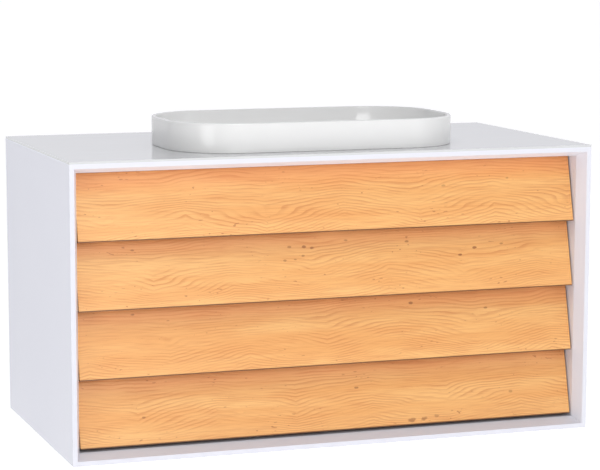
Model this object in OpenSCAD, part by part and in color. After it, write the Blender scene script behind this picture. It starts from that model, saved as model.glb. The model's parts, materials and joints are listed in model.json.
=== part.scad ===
// Wall-hung washstand: two drawers with lapped slat fronts, a glass top and a
// half-recessed basin with its waste and bottle trap.
// Millimetres. X runs along the width, the fronts face -Y, the wall is at +Y, Z is up.

/* [Cabinet] */
// Width over the side panels
cabinet_w = 1000; // [900:10:1200]
// Depth from the front edges to the wall
cabinet_d = 525; // [500:5:640]
// Height of the wooden carcass
cabinet_h = 535; // [500:5:640]
// Thickness of the carcass panels
panel_t = 18; // [16:1:22]
// Width of the flat front edge of each panel
front_edge = 8.5; // [6:0.5:14]
// Depth over which a panel widens from its front edge
bevel_depth = 26; // [15:1:40]
// Thickness of the glass top
glass_t = 4; // [4:1:8]

/* [Basin] */
// Length of the basin along the width of the cabinet
basin_l = 556; // [460:2:600]
// Width of the basin from front to back
basin_w = 323; // [262:1:350]
// Corner radius of the basin seen from above
basin_r = 124; // [100:1:130]
// Distance of the basin's middle behind the front edges
basin_setback = 211; // [195:1:250]
// Height of the rim above the glass
basin_rise = 54; // [40:1:80]
// Depth of the bowl below the rim
basin_depth = 93; // [75:1:105]
// Thickness of the rim
rim_t = 7; // [5:0.5:12]

/* [Fronts] */
// Distance of the slats' lower edges behind the front edges
slat_setback = 27.5; // [27:0.5:40]
// Lean of the slats from upright, in degrees
slat_lean = 13.7; // [8:0.1:16]
// Thickness of a slat
slat_t = 16; // [12:1:19]
// Gap above the top edge of a slat
slat_gap = 4; // [3:0.5:6]
// Gap between the lowest slat and the bottom panel
bottom_gap = 5.6; // [4:0.2:10]
// Gap at each end of a slat
end_gap = 3; // [2:0.5:5]

/* [Drawers] */
// Length of the runners
runner_l = 350; // [300:10:400]
// Thickness of the drawer sides
side_t = 15; // [12:1:18]
// Height of the upper drawer's sides
upper_side_h = 140; // [100:5:150]
// Height of the lower drawer's sides
lower_side_h = 150; // [100:5:180]
// Inner width of the well round the trap
well_w = 210; // [160:5:260]

/* [Waste] */
// Outside radius of the waste pipes
pipe_r = 16; // [14:0.5:20]
// Height of the wall outlet above the bottom panel
outlet_z = 355; // [330:5:370]

/* [Hidden] */
$fn = 64;
e = 0.01;
// running clearance round turned parts
fit = 0.3;
front_y = -cabinet_d / 2;
wall_y = cabinet_d / 2;
half_w = cabinet_w / 2;
inner_x = half_w - panel_t;
top_z = cabinet_h + glass_t;
rim_z = top_z + basin_rise;
floor_z = rim_z - basin_depth;
shell_t = 10;
under_z = floor_z - shell_t;
// the upper drawer passes this far below the bowl
bowl_clearance = 15;
basin_y = front_y + basin_setback;
basin_cx = basin_l / 2 - basin_r;
basin_cy = basin_w / 2 - basin_r;
ledge = 12;

// lapped slats
pitch = (cabinet_h - 2 * panel_t - bottom_gap) / 4;
slat_h = pitch - slat_gap;
slat_y = front_y + slat_setback;
slat_run = slat_h * tan(slat_lean);
slat_ty = slat_t / cos(slat_lean);
slat_z0 = panel_t + bottom_gap;
cleat_y = slat_y + slat_run + slat_ty + 6;
carrier_t = 16;
carrier_y = cleat_y + carrier_t;

// drawer boxes
runner_t = 12.7;
box_x = inner_x - runner_t;
runner_y = carrier_y + 2;
drawer_back_y = carrier_y + runner_l + 3;
back_t = 12;
upper_z = slat_z0 + 2 * pitch + 15;
lower_z = slat_z0 + 16;
upper_run_z = upper_z + 40;
lower_run_z = lower_z + 40;
// the well clears the trap by this much in front of its middle
well_reach = 60;
well_y = basin_y - well_reach;
well_t = 10;

// back rails and hanging hardware
rail_y = wall_y - 40;
rail_t = 18;
rail_z = cabinet_h - panel_t - 60;
hook_z = rail_z + 23;

// waste
flange_z = floor_z - 2;
tail_r = 20;
tail_z = flange_z - 63;
union_z = tail_z - 3;
bottle_top = outlet_z + 30;

white = [0.93, 0.93, 0.94];
grey = [0.72, 0.72, 0.73];
oak = [0.9, 0.66, 0.4];
steel = [0.72, 0.73, 0.75];
chrome = [0.8, 0.81, 0.83];

// ---- helpers ----

// cylinder along X, Y or Z starting at a point
module rod(p, dir, r, l, fn = 48) {
    turn = dir == "x" ? [0, 90, 0] : dir == "y" ? [-90, 0, 0] : [0, 0, 0];
    translate(p)
    rotate(turn)
    cylinder(r = r, h = l, $fn = fn);
}

// profile in Y and Z extruded along X between two positions
module along_x(x0, x1, pts) {
    translate([x0, 0, 0])
    rotate([90, 0, 90])
    linear_extrude(height = x1 - x0)
    polygon(pts);
}

// profile in X and Z extruded along Y between two positions
module along_y(y0, y1, pts) {
    translate([0, y1, 0])
    rotate([90, 0, 0])
    linear_extrude(height = y1 - y0)
    polygon(pts);
}

module box(x0, x1, y0, y1, z0, z1) {
    translate([x0, y0, z0])
    cube([x1 - x0, y1 - y0, z1 - z0]);
}

module rounded_plate(l, w, r, z0, z1) {
    translate([0, 0, z0])
    linear_extrude(height = z1 - z0)
    union() {
        square([l, w - 2 * r], center = true);
        square([l - 2 * r, w], center = true);
        for (sx = [-1, 1])
            for (sy = [-1, 1])
                translate([sx * (l / 2 - r), sy * (w / 2 - r)])
                circle(r = r, $fn = 96);
    }
}

module mirrored_x(right) {
    if (right)
        mirror([1, 0, 0])
        children();
    else
        children();
}

// ---- basin ----

module at_basin() {
    translate([0, basin_y, 0])
    children();
}

// inside half-width factor at a fraction of the bowl's depth
function bowl_s(t) = pow(1 - pow(t, 2.6), 1 / 2.6);
bowl_hw = basin_w / 2 - rim_t;
rim_round = 2.5;
bowl_steps = [for (i = [0 : 15]) sin(i * 6)];
function bowl_r(t) = basin_r - (basin_w / 2 - bowl_hw * bowl_s(t));
function bowl_z(t) = rim_z - basin_depth * t;

// cavity profile from the corner centre outwards
cavity_pts = concat(
    [[0, rim_z + 5], [basin_r - rim_t + rim_round, rim_z + 5]],
    [for (i = [0 : 5]) [
        basin_r - rim_t + rim_round - rim_round * sin(i * 18),
        rim_z - rim_round + rim_round * cos(i * 18)]],
    [for (t = bowl_steps) if (t > 0.04 && bowl_r(t) > 8) [bowl_r(t), bowl_z(t)]],
    [[0, floor_z]]
);

// outer profile, with the ledge that stands on the glass
foot_r = basin_r - ledge - 4;
outer_pts = concat(
    [[0, rim_z], [basin_r - rim_round, rim_z]],
    [for (i = [1 : 5]) [
        basin_r - rim_round + rim_round * sin(i * 18),
        rim_z - rim_round + rim_round * cos(i * 18)]],
    [[basin_r, top_z + 1], [basin_r - 1, top_z], [foot_r, top_z]],
    [for (t = bowl_steps)
        if (bowl_z(t) < top_z + 8 && bowl_r(t) > 8 && bowl_r(t) + 7 < foot_r)
            [bowl_r(t) + 7, bowl_z(t) - 9]],
    [[0, under_z]]
);

// quarter turns at the corners, straight runs between them
module tub(pts, z0, z1) {
    for (q = [0 : 3])
        translate([
            (q == 0 || q == 3 ? 1 : -1) * basin_cx,
            (q < 2 ? 1 : -1) * basin_cy, 0])
        rotate([0, 0, 90 * q])
        rotate_extrude(angle = 90, $fn = 96)
        polygon(pts);
    for (s = [-1, 1]) {
        along_x(-basin_cx, basin_cx, [for (p = pts) [s * (basin_cy + p[0]), p[1]]]);
        along_y(-basin_cy, basin_cy, [for (p = pts) [s * (basin_cx + p[0]), p[1]]]);
    }
    box(-basin_cx, basin_cx, -basin_cy, basin_cy, z0, z1);
}

module basin() {
    at_basin()
    color(white)
    difference() {
        tub(outer_pts, under_z, rim_z);
        tub(cavity_pts, floor_z, rim_z + 5);
        // recess and hole for the waste
        rod([0, 0, flange_z], "z", 33, 6);
        rod([0, 0, under_z - 5], "z", 22.5, 30);
        // groove for the seal under the ledge
        difference() {
            rounded_plate(basin_l - 7, basin_w - 7, basin_r - 3.5, top_z - 1, top_z + 2.5);
            rounded_plate(basin_l - 17, basin_w - 17, basin_r - 8.5, top_z - 2, top_z + 3.5);
        }
    }
}

module basin_seal_ring() {
    at_basin()
    color([0.85, 0.85, 0.85])
    difference() {
        rounded_plate(basin_l - 7.6, basin_w - 7.6, basin_r - 3.8, top_z, top_z + 2.5);
        rounded_plate(basin_l - 16.4, basin_w - 16.4, basin_r - 8.2, top_z - 1, top_z + 3.5);
    }
}

module top_cut_out() {
    at_basin()
    rounded_plate(basin_l - 2 * ledge, basin_w - 2 * ledge, basin_r - ledge,
        cabinet_h - panel_t - 5, top_z + 5);
}

module glass_top() {
    color([0.92, 0.94, 0.94])
    difference() {
        box(-half_w, half_w, front_y, wall_y, cabinet_h, top_z);
        top_cut_out();
    }
}

// ---- carcass ----

// outline of a panel's section: x is the distance in from the outer face
panel_section = [
    [0, front_y], [front_edge, front_y], [panel_t, front_y + bevel_depth],
    [panel_t, wall_y], [0, wall_y]
];

rail_dowel_z = [rail_z + 7.5, rail_z + 52.5, panel_t + 20, panel_t + 60];
module dowel_row(x0, r, l) {
    for (z = rail_dowel_z)
        rod([x0, rail_y + rail_t / 2, z], "x", r, l, 24);
}

runner_holes = [20, runner_l / 2, runner_l - 25];
module runner_screw_row(x0, r, l) {
    for (z = [upper_run_z, lower_run_z])
        for (y = runner_holes)
            rod([x0, runner_y + y, z], "x", r, l, 24);
}

hanger_pins = [[rail_y - 29, rail_z + 15], [rail_y - 29, rail_z + 41], [rail_y - 9, rail_z + 15]];
module hanger_pin_row(x0, r, l) {
    for (p = hanger_pins)
        rod([x0, p[0], p[1]], "x", r, l, 24);
}

module side_panel() {
    color(white)
    difference() {
        intersection() {
            translate([-half_w, 0, 0])
            linear_extrude(height = cabinet_h)
            polygon(panel_section);
            // mitred ends
            along_y(front_y - 1, wall_y + 1, [
                [-half_w, 0], [-inner_x, panel_t],
                [-inner_x, cabinet_h - panel_t], [-half_w, cabinet_h]]);
        }
        dowel_row(-inner_x - 12, 4.3, 13);
        runner_screw_row(-inner_x - 12, 2.2, 13);
        hanger_pin_row(-inner_x - 12, 2.5, 13);
    }
}

module left_side_panel() {
    side_panel();
}

module right_side_panel() {
    mirrored_x(true)
    side_panel();
}

module bottom_panel() {
    color(white)
    intersection() {
        along_x(-half_w, half_w, [for (p = panel_section) [p[1], p[0]]]);
        along_y(front_y - 1, wall_y + 1, [
            [-half_w, 0], [half_w, 0], [inner_x, panel_t], [-inner_x, panel_t]]);
    }
}

module top_panel() {
    color(white)
    difference() {
        intersection() {
            along_x(-half_w, half_w, [for (p = panel_section) [p[1], cabinet_h - p[0]]]);
            along_y(front_y - 1, wall_y + 1, [
                [-half_w, cabinet_h], [half_w, cabinet_h],
                [inner_x, cabinet_h - panel_t], [-inner_x, cabinet_h - panel_t]]);
        }
        top_cut_out();
    }
}

module rail(z0, z1) {
    color(white)
    difference() {
        box(-inner_x, inner_x, rail_y, rail_y + rail_t, z0, z1);
        dowel_row(-inner_x - 1, 4.3, 21);
        dowel_row(inner_x - 20, 4.3, 21);
        // slots for the hanger hooks
        for (s = [-1, 1])
            box(s * (inner_x - 11) - 9, s * (inner_x - 11) + 9,
                rail_y - 1, rail_y + rail_t + 1, hook_z - 4, hook_z + 12);
    }
}

module upper_back_rail() {
    rail(rail_z, rail_z + 60);
}

module lower_back_rail() {
    rail(panel_t, panel_t + 80);
}

module rail_dowels() {
    color(oak) {
        dowel_row(-inner_x - 11.5, 4, 30);
        dowel_row(inner_x - 18.5, 4, 30);
    }
}

// ---- hanging hardware ----

module hanger() {
    color(steel)
    difference() {
        union() {
            box(-inner_x, -inner_x + 22, rail_y - 38, rail_y, rail_z + 5, rail_z + 51);
            box(-inner_x + 5, -inner_x + 17, rail_y - 2, wall_y - 6, hook_z, hook_z + 6);
            box(-inner_x + 5, -inner_x + 17, wall_y - 8.5, wall_y - 6, hook_z - 14, hook_z + e);
        }
        hanger_pin_row(-inner_x - 1, 2.5, 25);
    }
}

module left_hanger() {
    hanger();
}

module right_hanger() {
    mirrored_x(true)
    hanger();
}

module hanger_screw_set() {
    hanger_pin_row(-inner_x - 11.5, 2.2, 33.5);
    hanger_pin_row(-inner_x + 22, 4, 2);
}

module hanger_screws() {
    color(steel) {
        hanger_screw_set();
        mirrored_x(true)
        hanger_screw_set();
    }
}

// wall plate bent forward at the top so that the hook drops behind it
module wall_plate() {
    color(steel)
    difference() {
        along_x(-inner_x + 1, -inner_x + 71, [
            [wall_y, hook_z - 85], [wall_y, hook_z - 30], [wall_y - 9.5, hook_z - 20],
            [wall_y - 9.5, hook_z], [wall_y - 12, hook_z], [wall_y - 12, hook_z - 21],
            [wall_y - 2.5, hook_z - 31], [wall_y - 2.5, hook_z - 85]]);
        for (z = [hook_z - 75, hook_z - 45])
            rod([-inner_x + 42, wall_y - 20, z], "y", 4.2, 30);
    }
}

module left_wall_plate() {
    wall_plate();
}

module right_wall_plate() {
    mirrored_x(true)
    wall_plate();
}

// ---- waste and trap ----

module waste_body() {
    bridge_z = tail_z + 39;
    at_basin()
    color(chrome)
    difference() {
        union() {
            difference() {
                union() {
                    rod([0, 0, flange_z], "z", 32, 2);
                    rod([0, 0, tail_z], "z", tail_r, flange_z - tail_z + 1);
                }
                rod([0, 0, tail_z - 1], "z", 17, 80);
            }
            // bridge that guides the stem of the plug
            for (a = [0, 90])
                rotate([0, 0, a])
                box(-18.5, 18.5, -1.5, 1.5, bridge_z, bridge_z + 6);
            rod([0, 0, bridge_z], "z", 7, 6);
        }
        rod([0, 0, tail_z - 1], "z", 4.05, 80);
    }
}

module waste_gasket() {
    at_basin()
    color([0.15, 0.15, 0.15])
    difference() {
        rod([0, 0, under_z - 3], "z", 31, 3);
        rod([0, 0, under_z - 4], "z", tail_r + fit, 5);
    }
}

module waste_nut() {
    at_basin()
    color(chrome)
    difference() {
        rod([0, 0, under_z - 15], "z", 33, 12, 6);
        rod([0, 0, under_z - 16], "z", tail_r + fit, 14);
    }
}

module waste_plug() {
    at_basin()
    color(chrome)
    union() {
        rotate_extrude($fn = 64)
        polygon(concat(
            [[0, floor_z], [30.5, floor_z], [31, floor_z + 1]],
            [for (i = [1 : 8]) [31 * cos(i * 11.25), floor_z + 1 + 4 * sin(i * 11.25)]]));
        rod([0, 0, floor_z - 46], "z", 4, 47);
    }
}

module trap_union_nut() {
    at_basin()
    color(chrome)
    difference() {
        rod([0, 0, union_z - 10], "z", 27, 24);
        rod([0, 0, union_z], "z", tail_r + fit, 15);
        rod([0, 0, union_z - 11], "z", pipe_r + fit, 12);
    }
}

module trap_inlet_pipe() {
    at_basin()
    color(chrome)
    difference() {
        union() {
            rod([0, 0, outlet_z - 45], "z", pipe_r, tail_z - outlet_z + 45);
            rod([0, 0, union_z], "z", tail_r - 0.5, 3);
        }
        rod([0, 0, outlet_z - 46], "z", pipe_r - 1.5, 200);
    }
}

module trap_slip_nut() {
    at_basin()
    color(chrome)
    difference() {
        rod([0, 0, bottle_top], "z", 24, 14);
        rod([0, 0, bottle_top - 1], "z", pipe_r + fit, 16);
    }
}

module trap_bottle() {
    at_basin()
    color(chrome)
    difference() {
        union() {
            rod([0, 0, outlet_z - 55], "z", 30, bottle_top - outlet_z + 55);
            rod([0, 0, outlet_z], "y", 18, 48);
        }
        rod([0, 0, outlet_z - 56], "z", 27.5, bottle_top - outlet_z + 52);
        rod([0, 0, bottle_top - 5], "z", pipe_r + fit, 6);
        rod([0, 20, outlet_z], "y", 15.5, 30);
    }
}

module trap_cup() {
    at_basin()
    color(chrome)
    difference() {
        rod([0, 0, outlet_z - 85], "z", 33, 45);
        rod([0, 0, outlet_z - 55], "z", 30 + fit, 20);
        rod([0, 0, outlet_z - 82], "z", 27.5, 30);
    }
}

module trap_outlet_nut() {
    at_basin()
    color(chrome)
    difference() {
        rod([0, 38, outlet_z], "y", 23, 22);
        rod([0, 37, outlet_z], "y", 18 + fit, 14);
        rod([0, 50, outlet_z], "y", pipe_r + fit, 12);
    }
}

module trap_outlet_pipe() {
    at_basin()
    color(chrome)
    difference() {
        union() {
            rod([0, 48, outlet_z], "y", pipe_r, wall_y - basin_y - 48);
            rod([0, 48, outlet_z], "y", 17.8, 3);
        }
        rod([0, 47, outlet_z], "y", pipe_r - 1.5, wall_y - basin_y - 40);
    }
}

// ---- runners ----

// channel section standing off the side panel: u is the distance from the panel
module channel(u_web, u_open, half, z, lips) {
    web0 = min(u_web, u_web + 1.2);
    flange0 = min(u_web, u_open);
    flange1 = max(u_web + (u_open < u_web ? 1.2 : 0), u_open);
    box(-inner_x + web0, -inner_x + web0 + 1.2, runner_y, runner_y + runner_l, z - half, z + half);
    for (s = [-1, 1])
        box(-inner_x + flange0, -inner_x + flange1, runner_y, runner_y + runner_l,
            z + s * (half - 0.6) - 0.6, z + s * (half - 0.6) + 0.6);
}

module cabinet_member(z) {
    color(steel)
    difference() {
        channel(0, 9.5, 22.5, z);
        for (y = runner_holes)
            rod([-inner_x - 1, runner_y + y, z], "x", 2.2, 4, 24);
    }
}

// rows of balls ride between the flanges of neighbouring members
module middle_member(z) {
    ball_x = -inner_x + 8.5;
    color(steel)
    union() {
        channel(3.8, 11, 18.8, z);
        for (s = [-1, 1])
            for (i = [0 : 4]) {
                translate([ball_x, runner_y + runner_l - 8 - i * 38, z + s * 20])
                sphere(r = 1.25, $fn = 24);
                translate([ball_x, runner_y + 8 + i * 38, z + s * 16.4])
                sphere(r = 1.25, $fn = 24);
            }
    }
}

module drawer_member(z) {
    color(steel)
    channel(11.5, 6.5, 15.1, z);
}

module upper_left_cabinet_member() {
    cabinet_member(upper_run_z);
}

module upper_right_cabinet_member() {
    mirrored_x(true)
    cabinet_member(upper_run_z);
}

module lower_left_cabinet_member() {
    cabinet_member(lower_run_z);
}

module lower_right_cabinet_member() {
    mirrored_x(true)
    cabinet_member(lower_run_z);
}

module upper_left_middle_member() {
    middle_member(upper_run_z);
}

module upper_right_middle_member() {
    mirrored_x(true)
    middle_member(upper_run_z);
}

module lower_left_middle_member() {
    middle_member(lower_run_z);
}

module lower_right_middle_member() {
    mirrored_x(true)
    middle_member(lower_run_z);
}

module upper_left_drawer_member() {
    drawer_member(upper_run_z);
}

module upper_right_drawer_member() {
    mirrored_x(true)
    drawer_member(upper_run_z);
}

module lower_left_drawer_member() {
    drawer_member(lower_run_z);
}

module lower_right_drawer_member() {
    mirrored_x(true)
    drawer_member(lower_run_z);
}

module runner_screw_set() {
    runner_screw_row(-inner_x - 11.5, 1.9, 13.5);
    runner_screw_row(-inner_x + 1.2, 3.5, 1.6);
}

module runner_screws() {
    color(steel) {
        runner_screw_set();
        mirrored_x(true)
        runner_screw_set();
    }
}

// ---- drawer fronts ----

function slat_bottom(n) = slat_z0 + (4 - n) * pitch;

module slat(n) {
    z = slat_bottom(n);
    color(oak)
    along_x(-inner_x + end_gap, inner_x - end_gap, [
        [slat_y, z], [slat_y + slat_ty, z],
        [slat_y + slat_run + slat_ty, z + slat_h], [slat_y + slat_run, z + slat_h]]);
}

module slat_1() {
    slat(1);
}

module slat_2() {
    slat(2);
}

module slat_3() {
    slat(3);
}

module slat_4() {
    slat(4);
}

cleat_x = [-inner_x + 60, 0, inner_x - 60];
lower_front_top = slat_bottom(3) + slat_h - 1;
upper_front_top = min(slat_bottom(1) + slat_h - 1, under_z - bowl_clearance);

// two screws in each cleat, driven from inside the drawer
module cleat_screw_row(z, y0, r, l) {
    for (x = cleat_x)
        for (k = [0, 1])
            rod([x, y0, z + k * pitch + 55], "y", r, l, 24);
}

module carrier(z, top) {
    color(grey)
    difference() {
        box(-box_x - 0.7, box_x + 0.7, cleat_y, carrier_y, z + 1, top);
        cleat_screw_row(z, cleat_y - 1, 2.4, carrier_t + 2);
    }
}

// saw-tooth blocks that set the slats at their lean
module cleats(z, top) {
    ya = slat_y + slat_ty;
    yb = ya + slat_run;
    yc = ya + slat_run * (top - z - pitch) / slat_h;
    color(grey)
    difference() {
        for (x = cleat_x)
            along_x(x - 20, x + 20, [
                [cleat_y, z], [ya, z], [yb, z + slat_h], [yb, z + pitch],
                [ya, z + pitch], [yc, top], [cleat_y, top]]);
        cleat_screw_row(z, cleat_y - 14, 2.4, 15);
    }
}

module cleat_screws(z) {
    color(steel) {
        cleat_screw_row(z, cleat_y - 13.5, 2.1, carrier_t + 13.5);
        cleat_screw_row(z, carrier_y, 4.5, 2);
    }
}

module upper_front_carrier() {
    carrier(slat_bottom(2), upper_front_top);
}

module upper_front_cleats() {
    cleats(slat_bottom(2), upper_front_top);
}

module upper_cleat_screws() {
    cleat_screws(slat_bottom(2));
}

module lower_front_carrier() {
    carrier(slat_bottom(4), lower_front_top);
}

module lower_front_cleats() {
    cleats(slat_bottom(4), lower_front_top);
}

module lower_cleat_screws() {
    cleat_screws(slat_bottom(4));
}

// ---- drawer boxes ----

module drawer_side(z, h) {
    color(grey)
    box(-box_x, -box_x + side_t, carrier_y, drawer_back_y, z, z + h);
}

module upper_drawer_left_side() {
    drawer_side(upper_z, upper_side_h);
}

module upper_drawer_right_side() {
    mirrored_x(true)
    drawer_side(upper_z, upper_side_h);
}

module lower_drawer_left_side() {
    drawer_side(lower_z, lower_side_h);
}

module lower_drawer_right_side() {
    mirrored_x(true)
    drawer_side(lower_z, lower_side_h);
}

module drawer_bottom(z) {
    box(-box_x + side_t, box_x - side_t, carrier_y, drawer_back_y - back_t, z + 6, z + 16);
}

module upper_drawer_bottom() {
    color(grey)
    difference() {
        drawer_bottom(upper_z);
        box(-well_w / 2 - well_t, well_w / 2 + well_t, well_y - well_t, wall_y,
            upper_z - 1, upper_z + 20);
    }
}

module lower_drawer_bottom() {
    color(grey)
    drawer_bottom(lower_z);
}

module upper_drawer_back_left() {
    color(grey)
    box(-box_x + side_t, -well_w / 2 - well_t, drawer_back_y - back_t, drawer_back_y,
        upper_z, upper_z + upper_side_h);
}

module upper_drawer_back_right() {
    mirrored_x(true)
    upper_drawer_back_left();
}

// moulded insert that keeps the drawer clear of the trap
module upper_drawer_well() {
    color(grey)
    difference() {
        box(-well_w / 2 - well_t, well_w / 2 + well_t, well_y - well_t, drawer_back_y,
            upper_z, upper_z + upper_side_h);
        box(-well_w / 2, well_w / 2, well_y, drawer_back_y + 1,
            upper_z - 1, upper_z + upper_side_h + 1);
    }
}

module lower_drawer_back() {
    color(grey)
    box(-box_x + side_t, box_x - side_t, drawer_back_y - back_t, drawer_back_y,
        lower_z, lower_z + lower_side_h);
}

// ---- drawing ----

left_side_panel();
right_side_panel();
bottom_panel();
top_panel();
upper_back_rail();
lower_back_rail();
rail_dowels();
glass_top();
basin();
basin_seal_ring();
waste_body();
waste_gasket();
waste_nut();
waste_plug();
trap_union_nut();
trap_inlet_pipe();
trap_slip_nut();
trap_bottle();
trap_cup();
trap_outlet_nut();
trap_outlet_pipe();
left_hanger();
right_hanger();
left_wall_plate();
right_wall_plate();
hanger_screws();
upper_left_cabinet_member();
upper_right_cabinet_member();
lower_left_cabinet_member();
lower_right_cabinet_member();
runner_screws();
upper_left_middle_member();
upper_right_middle_member();
lower_left_middle_member();
lower_right_middle_member();
upper_left_drawer_member();
upper_right_drawer_member();
lower_left_drawer_member();
lower_right_drawer_member();
slat_1();
slat_2();
slat_3();
slat_4();
upper_front_carrier();
upper_front_cleats();
upper_cleat_screws();
upper_drawer_left_side();
upper_drawer_right_side();
upper_drawer_bottom();
upper_drawer_back_left();
upper_drawer_back_right();
upper_drawer_well();
lower_front_carrier();
lower_front_cleats();
lower_cleat_screws();
lower_drawer_left_side();
lower_drawer_right_side();
lower_drawer_bottom();
lower_drawer_back();
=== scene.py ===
"""Looks of the wall-hung vanity with its half-recessed basin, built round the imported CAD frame."""

import json
import math

import bmesh
import bpy
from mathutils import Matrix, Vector


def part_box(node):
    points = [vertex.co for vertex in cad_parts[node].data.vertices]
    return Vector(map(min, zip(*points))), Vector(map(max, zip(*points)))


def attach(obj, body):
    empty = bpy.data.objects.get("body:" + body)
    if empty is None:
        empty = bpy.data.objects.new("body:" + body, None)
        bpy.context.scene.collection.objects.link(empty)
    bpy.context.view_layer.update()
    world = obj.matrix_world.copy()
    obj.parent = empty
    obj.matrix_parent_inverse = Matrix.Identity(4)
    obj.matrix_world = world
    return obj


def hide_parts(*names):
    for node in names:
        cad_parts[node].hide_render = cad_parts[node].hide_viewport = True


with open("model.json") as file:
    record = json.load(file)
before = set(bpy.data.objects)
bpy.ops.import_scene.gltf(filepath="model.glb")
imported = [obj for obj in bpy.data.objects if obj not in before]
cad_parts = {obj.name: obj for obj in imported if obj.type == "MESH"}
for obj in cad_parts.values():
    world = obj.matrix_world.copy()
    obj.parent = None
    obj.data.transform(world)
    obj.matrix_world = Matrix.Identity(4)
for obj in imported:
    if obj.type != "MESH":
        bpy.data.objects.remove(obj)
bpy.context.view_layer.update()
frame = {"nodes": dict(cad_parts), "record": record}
NODES = frame["nodes"]
MM = 0.001

scene = bpy.context.scene
scene.view_settings.view_transform = "Standard"
scene.view_settings.look = "None"


# ---------------------------------------------------------------- colours and nodes


def srgb(code):
    """A hex colour as linear red, green, blue and alpha."""
    out = []
    for i in (0, 2, 4):
        c = int(code[i : i + 2], 16) / 255
        out.append(c / 12.92 if c <= 0.04045 else ((c + 0.055) / 1.055) ** 2.4)
    return (*out, 1.0)


def add(tree, kind, links=None, **settings):
    """A node with its settings; each input is linked from a node or socket, or set to a value."""
    made = tree.nodes.new(kind)
    for key, value in settings.items():
        setattr(made, key, value)
    for key, value in (links or {}).items():
        if isinstance(value, bpy.types.Node):
            value = next(s for s in value.outputs if s.enabled)
        if isinstance(value, bpy.types.NodeSocket):
            tree.links.new(value, made.inputs[key])
        else:
            made.inputs[key].default_value = value
    return made


MATH = "ShaderNodeMath"
NOISE = "ShaderNodeTexNoise"
PLACE = "ShaderNodeMapping"
RANGE = "ShaderNodeMapRange"
MIX = "ShaderNodeMix"
BUMP = "ShaderNodeBump"
COLOUR = {"data_type": "RGBA"}
SMOOTH = {"interpolation_type": "SMOOTHSTEP"}
# inputs of a mix of two colours and of a range; those of a sum are its operands 0, 1 and 2
FACTOR, FIRST, SECOND = 0, 6, 7
VALUE, LOW, HIGH, TO_LOW, TO_HIGH = 0, 1, 2, 3, 4


def grains(*size_mm):
    """Scale that makes a noise's grains this long along X, Y and Z."""
    return tuple(1000 / s for s in size_mm)


def new_material(name, **shader):
    """A material with its shader's constants, its tree, its shader and the piece's coordinates."""
    m = bpy.data.materials.new(name)
    m.use_nodes = True
    t = m.node_tree
    t.nodes.clear()
    surface = add(t, "ShaderNodeBsdfPrincipled", {k.replace("_", " "): v for k, v in shader.items()})
    add(t, "ShaderNodeOutputMaterial", {0: surface.outputs[0]})
    return m, t, surface, add(t, "ShaderNodeTexCoord").outputs["Object"]


def finish_surface(t, surface, colour=None, roughness=None, height=None, depth_mm=0.01):
    """Joins the worked-out colour, roughness and relief to the shader."""
    if colour:
        t.links.new(next(s for s in colour.outputs if s.enabled), surface.inputs["Base Color"])
    if roughness:
        t.links.new(roughness.outputs[0], surface.inputs["Roughness"])
    if height:
        relief = add(t, BUMP, {"Height": height, "Distance": depth_mm * MM, "Strength": 0.6})
        t.links.new(relief.outputs[0], surface.inputs["Normal"])


# ---------------------------------------------------------------- finishes


def sprayed_lacquer():
    # Polyurethane lacquer sprayed on MDF: even, satin, lilac white, with orange peel 1.5 mm across.
    m, t, s, p = new_material("sprayed_satin_lacquer", Roughness=0.38, IOR=1.5)
    cloud_grain = add(t, PLACE, {"Vector": p, "Scale": grains(180, 180, 180)})
    cloud = add(t, NOISE, {"Vector": cloud_grain, "Scale": 1.0})
    peel_grain = add(t, PLACE, {"Vector": p, "Scale": grains(1.5, 1.5, 1.5)})
    peel = add(t, NOISE, {"Vector": peel_grain, "Scale": 1.0})
    colour = add(t, MIX, {FACTOR: cloud, FIRST: srgb("DFE0E9"), SECOND: srgb("E4E5ED")}, **COLOUR)
    rough = add(t, RANGE, {VALUE: cloud, LOW: 0.3, HIGH: 0.7, TO_LOW: 0.34, TO_HIGH: 0.42}, **SMOOTH)
    finish_surface(t, s, colour, rough, peel, 0.01)
    return m


def enamelled_glass():
    # Float glass with white enamel fired on its back: mirror-flat and a cool, neutral white.
    m, t, s, p = new_material("white_enamelled_float_glass", Roughness=0.05, IOR=1.52)
    cloud_grain = add(t, PLACE, {"Vector": p, "Scale": grains(240, 240, 240)})
    cloud = add(t, NOISE, {"Vector": cloud_grain, "Scale": 1.0})
    wipe_grain = add(t, PLACE, {"Vector": p, "Scale": grains(90, 30, 30)})
    wipe = add(t, NOISE, {"Vector": wipe_grain, "Scale": 1.0})
    colour = add(t, MIX, {FACTOR: cloud, FIRST: srgb("D2D3D4"), SECOND: srgb("D7D8D9")}, **COLOUR)
    rough = add(t, RANGE, {VALUE: wipe, LOW: 0.35, HIGH: 0.75, TO_LOW: 0.04, TO_HIGH: 0.08}, **SMOOTH)
    finish_surface(t, s, colour, rough, cloud, 0.02)
    return m


def glazed_china():
    # Slip-cast vitreous china under a thick white glaze: wet gloss with a soft waviness 35 mm across.
    m, t, s, p = new_material("glazed_vitreous_china", Roughness=0.16, IOR=1.52)
    pool_grain = add(t, PLACE, {"Vector": p, "Scale": grains(120, 120, 60)})
    pool = add(t, NOISE, {"Vector": pool_grain, "Scale": 1.0})
    wave_grain = add(t, PLACE, {"Vector": p, "Scale": grains(35, 35, 35)})
    wave = add(t, NOISE, {"Vector": wave_grain, "Scale": 1.0})
    colour = add(t, MIX, {FACTOR: pool, FIRST: srgb("EAEAE9"), SECOND: srgb("EEEEED")}, **COLOUR)
    rough = add(t, RANGE, {VALUE: pool, LOW: 0.3, HIGH: 0.7, TO_LOW: 0.14, TO_HIGH: 0.19}, **SMOOTH)
    finish_surface(t, s, colour, rough, wave, 0.04)
    return m


# growth rings cut flat by the veneer knife stand this far apart on the face
RING_GAP = 5.2 * MM
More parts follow.
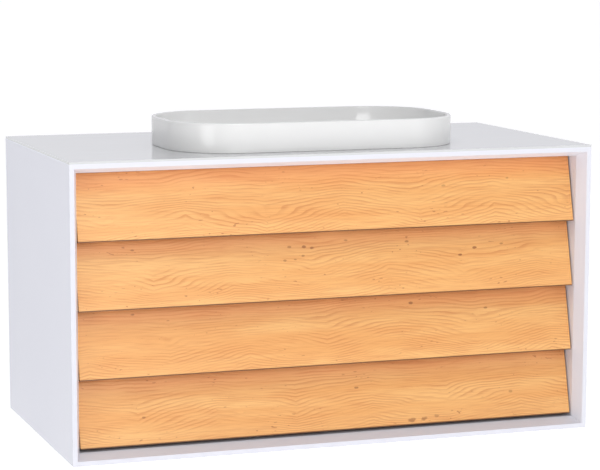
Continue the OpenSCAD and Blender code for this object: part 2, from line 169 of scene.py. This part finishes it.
# the hills that the rings draw along the board: their spacing, height and reach up the face
HILL_SPACING = 300 * MM
HILL_HEIGHT = 62 * MM
HILL_REACH = 45 * MM
# how far a slow sway and a tighter ripple push the rings up and down
SWAY = 40 * MM
RIPPLE = 3 * MM
# how dark the late wood is drawn
LINE_TONE = 0.46
# a pin knot is drawn wider than high, with a torn edge
KNOT_STRETCH = 1.5
KNOT_SQUASH = 0.8
KNOT_TEAR = 1.6


def late_wood(t, far, up, heart):
    """Strength of the dark line that ends each growth ring."""
    along = add(t, "ShaderNodeSeparateXYZ", {0: far}).outputs[0]
    # slow sway of the grain and a tighter ripple
    sway_grain = add(t, PLACE, {"Vector": far, "Scale": grains(230, 300, 60)})
    sway = add(t, NOISE, {"Vector": sway_grain, "Scale": 1.0})
    ripple_grain = add(t, PLACE, {"Vector": far, "Scale": grains(38, 300, 16)})
    ripple = add(t, NOISE, {"Vector": ripple_grain, "Scale": 1.0})
    bent = add(t, MATH, {0: sway, 1: SWAY, 2: up}, operation="MULTIPLY_ADD")
    bent = add(t, MATH, {0: ripple, 1: RIPPLE, 2: bent}, operation="MULTIPLY_ADD")

    # low hills that fade with the distance from the heart
    turn = add(t, MATH, {0: along, 1: HILL_SPACING}, operation="DIVIDE")
    turn = add(t, MATH, {0: turn}, operation="FRACT")
    slope = add(t, MATH, {0: turn, 1: 0.5}, operation="SUBTRACT")
    slope = add(t, MATH, {0: slope}, operation="ABSOLUTE")
    off = add(t, MATH, {0: up, 1: heart}, operation="SUBTRACT")
    off = add(t, MATH, {0: off, 1: HILL_REACH}, operation="DIVIDE")
    fall = add(t, MATH, {0: off, 1: off, 2: 1.0}, operation="MULTIPLY_ADD")
    hill = add(t, MATH, {0: slope, 1: fall}, operation="DIVIDE")
    rings = add(t, MATH, {0: hill, 1: HILL_HEIGHT, 2: bent}, operation="MULTIPLY_ADD")

    # each ring's late wood is a thin darker line, broken here and there
    phase = add(t, MATH, {0: rings, 1: RING_GAP}, operation="DIVIDE")
    phase = add(t, MATH, {0: phase}, operation="FRACT")
    late = add(t, RANGE, {VALUE: phase, LOW: 0.35, HIGH: 0.88}, **SMOOTH)
    edge = add(t, RANGE, {VALUE: phase, LOW: 1.0, HIGH: 0.90}, **SMOOTH)
    line = add(t, MATH, {0: late, 1: edge}, operation="MULTIPLY")
    broken_grain = add(t, PLACE, {"Vector": far, "Scale": grains(110, 300, 26)})
    broken = add(t, NOISE, {"Vector": broken_grain, "Scale": 1.0})
    broken = add(t, RANGE, {VALUE: broken, LOW: 0.36, HIGH: 0.64, TO_LOW: 0.12, TO_HIGH: 1.0}, **SMOOTH)
    return add(t, MATH, {0: line, 1: broken}, operation="MULTIPLY")


def pin_knots(t, far, own, share, height, knots, colour):
    """The colour with the board's pin knots drawn over it."""
    wobble_grain = add(t, PLACE, {"Vector": far, "Scale": grains(7, 20, 5)})
    wobble = add(t, NOISE, {"Vector": wobble_grain, "Scale": 1.0})
    for knot_x, knot_share, radius, dark in knots:
        across = add(t, MATH, {0: own.outputs[0], 1: knot_x}, operation="SUBTRACT")
        across = add(t, MATH, {0: across, 1: radius * KNOT_STRETCH}, operation="DIVIDE")
        rise = add(t, MATH, {0: share, 1: knot_share}, operation="SUBTRACT")
        rise = add(t, MATH, {0: rise, 1: radius * KNOT_SQUASH / height}, operation="DIVIDE")
        far_off = add(t, MATH, {0: across, 1: across, 2: -KNOT_TEAR / 2}, operation="MULTIPLY_ADD")
        far_off = add(t, MATH, {0: rise, 1: rise, 2: far_off}, operation="MULTIPLY_ADD")
        far_off = add(t, MATH, {0: wobble, 1: KNOT_TEAR, 2: far_off}, operation="MULTIPLY_ADD")
        mask = add(t, RANGE, {VALUE: far_off, LOW: 1.0, HIGH: 0.25, TO_LOW: 0.0, TO_HIGH: dark}, **SMOOTH)
        colour = add(t, MIX, {FACTOR: mask, FIRST: colour, SECOND: srgb("94552B")}, **COLOUR)
    return colour


def oak_veneer(name, slide, heart, low, height, knots):
    """Knotty oak veneer under a clear satin lacquer: honey ground, thin ring lines that run level near
    the top and fan out in low hills near the heart, short pores, mineral flecks and pin knots.
    slide moves the figure along the board, and heart is the height of the hills."""
    m, t, s, p = new_material(name, Roughness=0.42, IOR=1.5)
    far = add(t, PLACE, {"Vector": p, "Location": (slide, 0, 0)})
    own = add(t, "ShaderNodeSeparateXYZ", {0: p})
    up = add(t, MATH, {0: own.outputs[2], 1: low}, operation="SUBTRACT")
    share = add(t, MATH, {0: up, 1: height}, operation="DIVIDE")

    line = late_wood(t, far, up, heart)

    # broad bands of tone; darker and redder towards the top edge, partly the veneer's own tone and partly
    # painted shade from the board above; lighter at the lower edge
    band_grain = add(t, PLACE, {"Vector": far, "Scale": grains(320, 400, 22)})
    band = add(t, NOISE, {"Vector": band_grain, "Scale": 1.0})
    band = add(t, RANGE, {VALUE: band, LOW: 0.34, HIGH: 0.66}, **SMOOTH)
    colour = add(t, MIX, {FACTOR: band, FIRST: srgb("F0AD66"), SECOND: srgb("F8BF78")}, **COLOUR)
    # painted shade: the top quarter of each board is darkened and reddened where the board above shades
    # it
    shade = add(t, RANGE, {VALUE: share, LOW: 0.62, HIGH: 1.0, TO_LOW: 0.0, TO_HIGH: 0.75}, **SMOOTH)
    colour = add(t, MIX, {FACTOR: shade, FIRST: colour, SECOND: srgb("E0925A")}, **COLOUR)
    light = add(t, RANGE, {VALUE: share, LOW: 0.32, HIGH: 0.0, TO_LOW: 0.0, TO_HIGH: 0.5}, **SMOOTH)
    colour = add(t, MIX, {FACTOR: light, FIRST: colour, SECOND: srgb("FBC17C")}, **COLOUR)
    dark_line = add(t, MATH, {0: line, 1: LINE_TONE}, operation="MULTIPLY")
    colour = add(t, MIX, {FACTOR: dark_line, FIRST: colour, SECOND: srgb("C8723A")}, **COLOUR)

    # fibre streaks 55 mm long and pores drawn 1 mm wide, coarser than real so that they show
    fibre_grain = add(t, PLACE, {"Vector": far, "Scale": grains(55, 20, 1.6)})
    fibre = add(t, NOISE, {"Vector": fibre_grain, "Scale": 1.0})
    fibre = add(t, RANGE, {VALUE: fibre, LOW: 0.42, HIGH: 0.72, TO_LOW: 0.0, TO_HIGH: 0.34}, **SMOOTH)
    colour = add(t, MIX, {FACTOR: fibre, FIRST: colour, SECOND: srgb("D27F46")}, **COLOUR)
    pore_grain = add(t, PLACE, {"Vector": far, "Scale": grains(9, 4, 1.0)})
    pore = add(t, NOISE, {"Vector": pore_grain, "Scale": 1.0})
    pore = add(t, RANGE, {VALUE: pore, LOW: 0.64, HIGH: 0.76, TO_LOW: 0.0, TO_HIGH: 0.32}, **SMOOTH)
    colour = add(t, MIX, {FACTOR: pore, FIRST: colour, SECOND: srgb("C57A40")}, **COLOUR)

    # sparse mineral flecks, gathered in patches
    fleck_grain = add(t, PLACE, {"Vector": far, "Scale": grains(8, 20, 3)})
    fleck = add(t, NOISE, {"Vector": fleck_grain, "Detail": 0.0, "Scale": 1.0})
    patch_grain = add(t, PLACE, {"Vector": far, "Scale": grains(90, 200, 40)})
    patch = add(t, NOISE, {"Vector": patch_grain, "Scale": 1.0})
    fleck = add(t, RANGE, {VALUE: fleck, LOW: 0.76, HIGH: 0.82}, **SMOOTH)
    patch = add(t, RANGE, {VALUE: patch, LOW: 0.50, HIGH: 0.60, TO_LOW: 0.0, TO_HIGH: 0.65}, **SMOOTH)
    fleck = add(t, MATH, {0: fleck, 1: patch}, operation="MULTIPLY")
    colour = add(t, MIX, {FACTOR: fleck, FIRST: colour, SECOND: srgb("B4683A")}, **COLOUR)

    # painted shadow: a thin dark brown line along the lower arris, standing in for the shade under each
    # board
    painted_shadow_line = add(t, RANGE, {VALUE: share, LOW: 0.022, HIGH: 0.010, TO_LOW: 0.0, TO_HIGH: 0.9}, **SMOOTH)
    colour = add(t, MIX, {FACTOR: painted_shadow_line, FIRST: colour, SECOND: srgb("5E3418")}, **COLOUR)

    colour = pin_knots(t, far, own, share, height, knots, colour)
    rough = add(t, MATH, {0: line, 1: 0.10, 2: 0.38}, operation="MULTIPLY_ADD")
    sunk = add(t, MATH, {0: line, 1: pore}, operation="ADD")
    sunk = add(t, MATH, {0: 1.0, 1: sunk}, operation="SUBTRACT")
    finish_surface(t, s, colour, rough, sunk, 0.06)
    return m


def melamine(name, a, b):
    # Melamine-faced chipboard: printed paper pressed with a fine pebble 0.8 mm across.
    m, t, s, p = new_material(name, Roughness=0.5, IOR=1.5)
    cloud_grain = add(t, PLACE, {"Vector": p, "Scale": grains(60, 60, 60)})
    cloud = add(t, NOISE, {"Vector": cloud_grain, "Scale": 1.0})
    pebble_grain = add(t, PLACE, {"Vector": p, "Scale": grains(0.8, 0.8, 0.8)})
    pebble = add(t, NOISE, {"Vector": pebble_grain, "Scale": 1.0})
    colour = add(t, MIX, {FACTOR: cloud, FIRST: srgb(a), SECOND: srgb(b)}, **COLOUR)
    rough = add(t, RANGE, {VALUE: pebble, LOW: 0.3, HIGH: 0.7, TO_LOW: 0.45, TO_HIGH: 0.58}, **SMOOTH)
    finish_surface(t, s, colour, rough, pebble, 0.02)
    return m


def moulded_plastic():
    # Injection-moulded polypropylene with a spark-eroded texture 0.6 mm across.
    m, t, s, p = new_material("moulded_grey_polypropylene", Roughness=0.5, IOR=1.49)
    cloud_grain = add(t, PLACE, {"Vector": p, "Scale": grains(80, 80, 80)})
    cloud = add(t, NOISE, {"Vector": cloud_grain, "Scale": 1.0})
    spark_grain = add(t, PLACE, {"Vector": p, "Scale": grains(0.6, 0.6, 0.6)})
    spark = add(t, NOISE, {"Vector": spark_grain, "Scale": 1.0})
    colour = add(t, MIX, {FACTOR: cloud, FIRST: srgb("A5A6A8"), SECOND: srgb("AEAFB1")}, **COLOUR)
    rough = add(t, RANGE, {VALUE: spark, LOW: 0.3, HIGH: 0.7, TO_LOW: 0.45, TO_HIGH: 0.6}, **SMOOTH)
    finish_surface(t, s, colour, rough, spark, 0.03)
    return m


def zinc_plate():
    # Rolled steel strip with bright zinc plate: rolling lines and a faint cloudiness.
    m, t, s, p = new_material("bright_zinc_plated_steel", Roughness=0.32, Metallic=1.0)
    rolled_grain = add(t, PLACE, {"Vector": p, "Scale": grains(1.2, 60, 0.6)})
    rolled = add(t, NOISE, {"Vector": rolled_grain, "Scale": 1.0})
    cloud_grain = add(t, PLACE, {"Vector": p, "Scale": grains(25, 25, 25)})
    cloud = add(t, NOISE, {"Vector": cloud_grain, "Scale": 1.0})
    colour = add(t, MIX, {FACTOR: cloud, FIRST: srgb("B9BDC2"), SECOND: srgb("CACDD1")}, **COLOUR)
    rough = add(t, RANGE, {VALUE: rolled, LOW: 0.3, HIGH: 0.7, TO_LOW: 0.26, TO_HIGH: 0.42}, **SMOOTH)
    finish_surface(t, s, colour, rough, rolled, 0.01)
    return m


def chrome_plate():
    # Bright chrome over turned and polished brass: a mirror broken by faint buffing marks 6 mm long.
    m, t, s, p = new_material("polished_chrome_plate", Roughness=0.07, Metallic=1.0)
    buff_grain = add(t, PLACE, {"Vector": p, "Scale": grains(6, 6, 1)})
    buff = add(t, NOISE, {"Vector": buff_grain, "Scale": 1.0})
    colour = add(t, MIX, {FACTOR: buff, FIRST: srgb("D6D9DC"), SECOND: srgb("E2E4E6")}, **COLOUR)
    rough = add(t, RANGE, {VALUE: buff, LOW: 0.3, HIGH: 0.7, TO_LOW: 0.05, TO_HIGH: 0.11}, **SMOOTH)
    finish_surface(t, s, colour, rough, buff, 0.004)
    return m


def soft_rubber(name, a, b, rough):
    # Moulded EPDM or cured silicone: a dull skin, mottled every 4 mm.
    m, t, s, p = new_material(name, Roughness=rough, IOR=1.5)
    cloud_grain = add(t, PLACE, {"Vector": p, "Scale": grains(4, 4, 4)})
    cloud = add(t, NOISE, {"Vector": cloud_grain, "Scale": 1.0})
    colour = add(t, MIX, {FACTOR: cloud, FIRST: srgb(a), SECOND: srgb(b)}, **COLOUR)
    finish_surface(t, s, colour, None, cloud, 0.03)
    return m


def beech():
    # Steamed beech turned into dowels: short ray flecks 2.5 mm long on a pinkish ground.
    m, t, s, p = new_material("turned_beech", Roughness=0.6, IOR=1.5)
    rays_grain = add(t, PLACE, {"Vector": p, "Scale": grains(2.5, 0.5, 0.5)})
    rays = add(t, NOISE, {"Vector": rays_grain, "Scale": 1.0})
    mask = add(t, RANGE, {VALUE: rays, LOW: 0.4, HIGH: 0.7}, **SMOOTH)
    colour = add(t, MIX, {FACTOR: mask, FIRST: srgb("D9B68C"), SECOND: srgb("B88D62")}, **COLOUR)
    finish_surface(t, s, colour, None, rays, 0.05)
    return m


FINISH = {
    "lacquered_board": sprayed_lacquer(),
    "melamine_board": melamine("white_melamine_chipboard", "E4E4E6", "EBEBED"),
    "drawer_board": melamine("light_grey_melamine_chipboard", "B9BABC", "C2C3C5"),
    "beech": beech(),
    "enamelled_glass": enamelled_glass(),
    "glazed_basin": glazed_china(),
    "sealant": soft_rubber("cured_silicone_sealant", "DADAD8", "E4E4E2", 0.5),
    "gasket_rubber": soft_rubber("moulded_black_rubber", "161616", "222222", 0.7),
    "chromed_brass": chrome_plate(),
    "zinced_steel": zinc_plate(),
    "moulded_plastic": moulded_plastic(),
}
SLOT_OF = {row["node"]: row["material_slot"] for row in frame["record"]["subparts"]}
# an edge that turns more than this is an arris
SHARP = math.radians(35)
# radius of the arrises of the veneered boards, of the lacquered carcass and of the ground glass
BOARD_ARRIS = 0.8 * MM
CARCASS_ARRIS = 0.5 * MM
GLASS_ARRIS = 0.6 * MM


# ---------------------------------------------------------------- CAD nodes: finishes and eased edges


def dress(node, material):
    """One finish over the whole of a CAD node."""
    mesh = NODES[node].data
    mesh.materials.clear()
    mesh.materials.append(material)


def shade_smooth(mesh):
    mesh.polygons.foreach_set("use_smooth", [True] * len(mesh.polygons))


def ease(node, radius):
    """Arrises sanded or ground to a small radius."""
    b = NODES[node].modifiers.new("eased_edges", "BEVEL")
    b.width = radius
    b.segments = 2
    b.limit_method = "ANGLE"
    b.angle_limit = SHARP
    b.harden_normals = True
    shade_smooth(NODES[node].data)


# pin knots of each board: x along the board, share of its height, radius in metres, darkness
KNOTS = {
    "slat_1": [(0.22, 0.62, 0.003, 0.4), (0.35, 0.70, 0.0025, 0.4)],
    "slat_2": [
        (-0.080, 0.80, 0.003, 0.5), (-0.052, 0.79, 0.0035, 0.7), (-0.036, 0.77, 0.0035, 0.7),
        (-0.055, 0.66, 0.003, 0.6), (-0.090, 0.60, 0.003, 0.5), (-0.070, 0.61, 0.0025, 0.5),
        (0.03, 0.86, 0.003, 0.45), (0.15, 0.80, 0.003, 0.6), (0.285, 0.66, 0.0035, 0.8),
        (0.255, 0.56, 0.003, 0.8), (0.34, 0.70, 0.003, 0.5), (-0.375, 0.86, 0.003, 0.6),
    ],
    "slat_3": [(-0.375, 0.92, 0.003, 0.6), (0.16, 0.86, 0.0035, 0.7), (0.31, 0.72, 0.003, 0.6)],
    "slat_4": [
        (0.155, 0.07, 0.006, 0.6), (0.18, 0.08, 0.005, 0.6), (0.205, 0.11, 0.004, 0.45),
        (-0.36, 0.40, 0.003, 0.6), (0.05, 0.62, 0.003, 0.6), (0.36, 0.40, 0.0035, 0.4),
    ],
}
# how far each board's figure is shifted along the flitch, and the height of its heart
BOARD = {
    "slat_1": (0.13, 0.018),
    "slat_2": (0.34, 0.026),
    "slat_3": (0.61, 0.020),
    "slat_4": (0.97, 0.034),
}
for slat, (slide, heart) in BOARD.items():
    low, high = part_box(slat)
    dress(slat, oak_veneer("knotty_oak_" + slat, slide, heart, low[2], high[2] - low[2], KNOTS[slat]))
    ease(slat, BOARD_ARRIS)
for node, slot in SLOT_OF.items():
    if node not in BOARD:
        dress(node, FINISH[slot])
for node in ("left_side_panel", "right_side_panel", "bottom_panel", "top_panel"):
    ease(node, CARCASS_ARRIS)
ease("glass_top", GLASS_ARRIS)


# ---------------------------------------------------------------- basin

BASIN_LOW, BASIN_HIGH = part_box("basin")
BASIN_Y = (BASIN_LOW[1] + BASIN_HIGH[1]) / 2
HALF_X = (BASIN_HIGH[0] - BASIN_LOW[0]) / 2
HALF_Y = (BASIN_HIGH[1] - BASIN_LOW[1]) / 2
RIM_Z = BASIN_HIGH[2]
UNDER_Z = BASIN_LOW[2]
TOP_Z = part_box("glass_top")[1][2]
CORNER = 124 * MM
RIM_T = 7 * MM
SHELL_T = 10 * MM
LEDGE = 12 * MM
FLOOR_Z = UNDER_Z + SHELL_T
BOWL_HALF = HALF_Y - RIM_T
BOWL_DEPTH = RIM_Z - FLOOR_Z
# exponent of the superellipse that the bowl's section follows
BOWL_CURVE = 2.6
WASTE_R = 33 * MM
WASTE_BORE = 22.5 * MM
WASTE_RECESS = 2 * MM
WASTE_LAND = 14 * MM
WASTE_LIP = 1 * MM
WASTE_BOSS = 6 * MM
RIM_BEAD = 2.4 * MM
FOOT_ARRIS = 1.2 * MM
# the underside's section lies this far out from the bowl's and this far below it
WALL_OUT = 7 * MM
WALL_DOWN = 9 * MM
# no ring is drawn closer than this to the middle of a corner
LEAST_R = 8 * MM
QUARTER = 16
RING_POINTS = 4 * QUARTER
BEAD_STEPS = 4
BOWL_RINGS = 22
UNDER_RINGS = 18


def oblong(inset, z):
    """Ring that lies this far inside the basin's outline."""
    ring = []
    r = CORNER - inset
    for k in range(RING_POINTS):
        quarter, step = divmod(k, QUARTER)
        a = math.pi / 2 * (quarter + step / (QUARTER - 1))
        side_x = 1 if quarter in (0, 3) else -1
        side_y = 1 if quarter < 2 else -1
        x = side_x * (HALF_X - CORNER) + r * math.cos(a)
        y = side_y * (HALF_Y - CORNER) + r * math.sin(a)
        ring.append((x, BASIN_Y + y, z))
    return ring


def circle(r, z):
    """Ring round the waste, with as many points as an oblong."""
    turns = [2 * math.pi * (k + 0.5) / RING_POINTS for k in range(RING_POINTS)]
    return [(r * math.cos(a), BASIN_Y + r * math.sin(a), z) for a in turns]


def bowl_rings(count, grow, drop):
    """Inset and height of rings down the bowl, grown outwards and dropped for the underside."""
    rings = []
    for i in range(1, count + 1):
        # even turns of the section, so that its tight lower bend gets as many rings as it needs
        a = math.pi / 2 * i / (count + 0.6)
        across = math.cos(a) ** (2 / BOWL_CURVE)
        down = math.sin(a) ** (2 / BOWL_CURVE)
        rings.append((RIM_T + BOWL_HALF * (1 - across) - grow, RIM_Z - BOWL_DEPTH * down - drop))
    return rings


def bowl_outline():
    """The basin's closed section as rings: foot, wall, rim bead, bowl, waste recess and underside."""
    rings = [
        oblong(LEDGE + 4 * MM, TOP_Z),
        oblong(FOOT_ARRIS, TOP_Z),
        oblong(FOOT_ARRIS / 4, TOP_Z + FOOT_ARRIS / 4),
        oblong(0, TOP_Z + FOOT_ARRIS),
        oblong(0, RIM_Z - 2 * RIM_BEAD),
    ]
    turns = [math.pi / 2 * i / BEAD_STEPS for i in range(BEAD_STEPS + 1)]
    for a in turns:
        rings.append(oblong(RIM_BEAD * (1 - math.cos(a)), RIM_Z - RIM_BEAD * (1 - math.sin(a))))
    for a in turns:
        rings.append(oblong(RIM_T - RIM_BEAD * (1 - math.sin(a)), RIM_Z - RIM_BEAD * (1 - math.cos(a))))
    for inset, z in bowl_rings(BOWL_RINGS, 0, 0):
        if z < RIM_Z - 2 * RIM_BEAD and inset < CORNER - LEAST_R:
            rings.append(oblong(inset, z))
    rings += [
        circle(WASTE_R + WASTE_LAND, FLOOR_Z),
        circle(WASTE_R + WASTE_LIP, FLOOR_Z),
        circle(WASTE_R, FLOOR_Z),
        circle(WASTE_R, FLOOR_Z - WASTE_RECESS),
        circle(WASTE_BORE, FLOOR_Z - WASTE_RECESS),
        circle(WASTE_BORE, UNDER_Z),
        circle(WASTE_R + WASTE_BOSS, UNDER_Z),
    ]
    for inset, z in reversed(bowl_rings(UNDER_RINGS, WALL_OUT, WALL_DOWN)):
        if z < TOP_Z - 1 * MM and LEDGE + 5 * MM < inset < CORNER - LEAST_R:
            rings.append(oblong(inset, max(z, UNDER_Z)))
    return rings


def glazed_bowl():
    """The basin as one closed skin."""
    bm = bmesh.new()
    made = [[bm.verts.new(v) for v in ring] for ring in bowl_outline()]
    made.append(made[0])
    for a, b in zip(made, made[1:]):
        for i in range(RING_POINTS):
            j = (i + 1) % RING_POINTS
            bm.faces.new((a[i], a[j], b[j], b[i]))
    bmesh.ops.recalc_face_normals(bm, faces=bm.faces)
    mesh = bpy.data.meshes.new("glazed_bowl")
    bm.to_mesh(mesh)
    bm.free()
    mesh.materials.append(FINISH["glazed_basin"])
    shade_smooth(mesh)
    bowl = bpy.data.objects.new("glazed_bowl", mesh)
    scene.collection.objects.link(bowl)
    soft = bowl.modifiers.new("smooth_glaze", "SUBSURF")
    soft.levels = soft.render_levels = 1
    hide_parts("basin")
    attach(bowl, "cabinet")


glazed_bowl()


# ---------------------------------------------------------------- studio

# the unit hangs this far above the floor
HANG = 0.31
FLOOR_REACH = 90.0
# glow of the floor, which keeps it as white under the unit as round it
FLOOR_GLOW = 0.57
# the lights face the middle of the unit
MIDDLE = Vector((0, 0, 0.28))
# name, place, width, height and watts of each softbox
SOFTBOXES = [
    ("key_front", (-0.3, -4.6, 2.0), 2.4, 2.0, 73),
    ("low_left", (-3.2, -2.2, 0.25), 1.4, 0.8, 10),
    ("overhead_left", (-1.1, -1.2, 3.0), 1.6, 1.2, 24),
    ("fill_right", (2.6, -3.4, 0.9), 1.4, 1.4, 7),
]
# strength of the air's light before the unit and behind it, and how much its right side joins in
AIR_BEFORE = 0.14
AIR_BEHIND = 0.90
AIR_RIGHT = 0.6
CAMERA_PLACE = (-1.395, -3.9919, 0.9308)
CAMERA_DIP = 8.32
CAMERA_TURN = 18.75
CAMERA_LENS = 133.4
CAMERA_SHIFT = (0.0455, 0.0383)


def studio_floor():
    """Matt white floor far larger than the view."""
    m, t, s, p = new_material(
        "matt_white_studio_floor",
        Roughness=0.9,
        Emission_Color=(1, 1, 1, 1),
        Emission_Strength=FLOOR_GLOW,
    )
    cloud_grain = add(t, PLACE, {"Vector": p, "Scale": grains(900, 900, 900)})
    cloud = add(t, NOISE, {"Vector": cloud_grain, "Scale": 1.0})
    colour = add(t, MIX, {FACTOR: cloud, FIRST: srgb("F2F2F2"), SECOND: srgb("F6F6F6")}, **COLOUR)
    finish_surface(t, s, colour)
    mesh = bpy.data.meshes.new("studio_floor")
    r = FLOOR_REACH
    corners = [(-r, -r, -HANG), (r, -r, -HANG), (r, r, -HANG), (-r, r, -HANG)]
    mesh.from_pydata(corners, [], [(0, 1, 2, 3)])
    mesh.materials.append(m)
    obj = bpy.data.objects.new("studio_floor", mesh)
    scene.collection.objects.link(obj)


def softbox(name, place, width, height, watts):
    """A rectangular soft light that faces the middle of the unit."""
    light = bpy.data.lights.new(name, "AREA")
    light.shape = "RECTANGLE"
    light.size = width
    light.size_y = height
    light.energy = watts
    obj = bpy.data.objects.new(name, light)
    obj.location = place
    obj.rotation_euler = (MIDDLE - Vector(place)).to_track_quat("-Z", "Y").to_euler()
    scene.collection.objects.link(obj)


def studio_air():
    """Light from all round, brighter behind the unit and to its right than in front of it."""
    world = bpy.data.worlds.new("studio_air")
    scene.world = world
    world.use_nodes = True
    air = world.node_tree
    sky = air.nodes["Background"]
    sky.inputs["Color"].default_value = srgb("FAFAFF")
    here = add(air, "ShaderNodeTexCoord").outputs["Generated"]
    toward = add(air, "ShaderNodeSeparateXYZ", {0: here})
    behind = add(
        air, MATH, {0: toward.outputs[0], 1: AIR_RIGHT, 2: toward.outputs[1]}, operation="MULTIPLY_ADD"
    )
    glow = add(
        air,
        RANGE,
        {VALUE: behind, LOW: -0.7, HIGH: 0.9, TO_LOW: AIR_BEFORE, TO_HIGH: AIR_BEHIND},
        **SMOOTH,
    )
    air.links.new(glow.outputs[0], sky.inputs["Strength"])


def camera():
    """The view of the whole unit from the front and a little to its left."""
    data = bpy.data.cameras.new("view")
    data.sensor_width = 36.0
    data.lens = CAMERA_LENS
    data.shift_x, data.shift_y = CAMERA_SHIFT
    data.clip_end = 300
    cam = bpy.data.objects.new("view", data)
    cam.location = CAMERA_PLACE
    cam.rotation_euler = (math.radians(90 - CAMERA_DIP), 0, math.radians(-CAMERA_TURN))
    scene.collection.objects.link(cam)
    scene.camera = cam


studio_floor()
for box in SOFTBOXES:
    softbox(*box)
studio_air()
camera()
